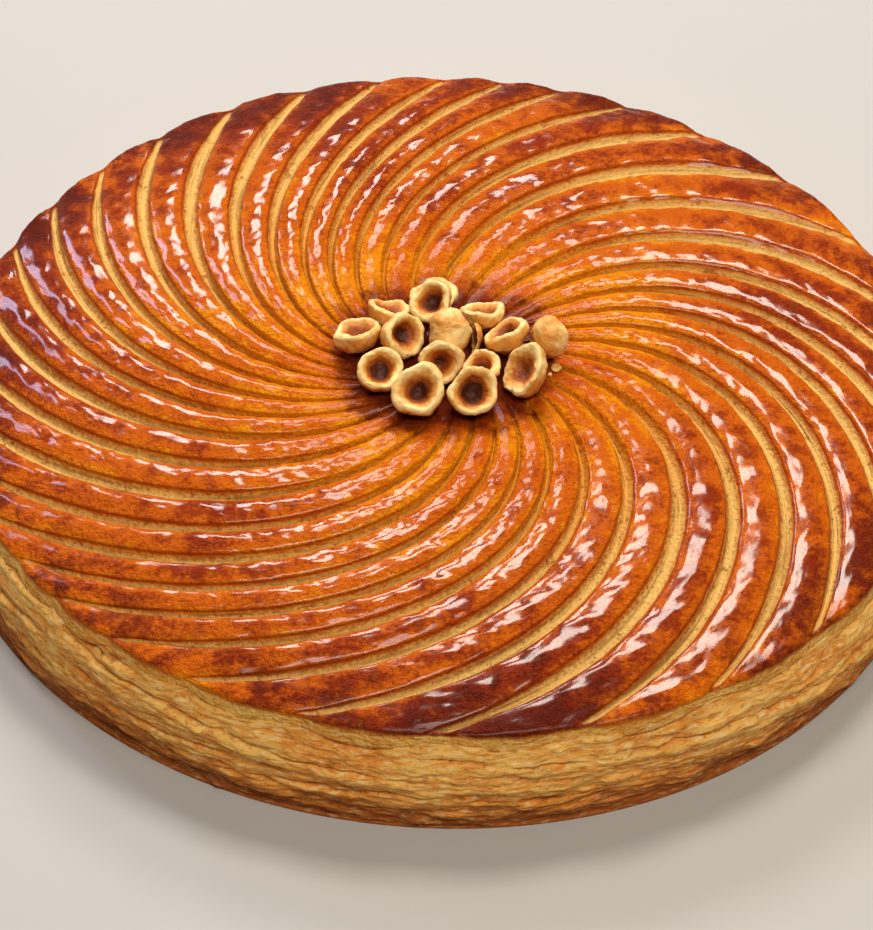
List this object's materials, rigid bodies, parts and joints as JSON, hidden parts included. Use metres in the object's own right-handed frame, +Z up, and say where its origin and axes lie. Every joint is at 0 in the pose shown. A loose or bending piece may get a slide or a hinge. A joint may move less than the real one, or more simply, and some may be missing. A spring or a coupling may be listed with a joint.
{
  "type": "galette des rois",
  "caption": "Round puff pastry cake with a domed, egg-glazed top scored in curved rays and a small heap of roasted hazelnut halves at its centre.",
  "frame": {"origin": "centre of the base, where the cake rests", "axes": "+Z up through the dome, -Y towards the person looking in the picture, +X to that person's right"},
  "size_m": [0.2628, 0.2584, 0.0497],
  "materials": {
    "crust": "flaky baked puff pastry, pale golden side",
    "glaze": "glossy egg-wash glaze, orange brown with mahogany patches near the rim",
    "hazelnut": "roasted hazelnut, cream with brown hollows"
  },
  "bodies": {
    "root": {"galette": "crust", "hazelnut_back_far": "hazelnut", "hazelnut_back_left": "hazelnut", "hazelnut_back_right": "hazelnut", "hazelnut_back": "hazelnut", "hazelnut_right_far": "hazelnut", "hazelnut_left_middle": "hazelnut", "hazelnut_dome": "hazelnut", "hazelnut_right": "hazelnut", "hazelnut_sliver": "hazelnut", "hazelnut_under": "hazelnut", "hazelnut_middle": "hazelnut", "hazelnut_left": "hazelnut", "hazelnut_right_front": "hazelnut", "hazelnut_front_left": "hazelnut", "hazelnut_front": "hazelnut", "hazelnut_front_right": "hazelnut"}
  },
  "joints": []
}
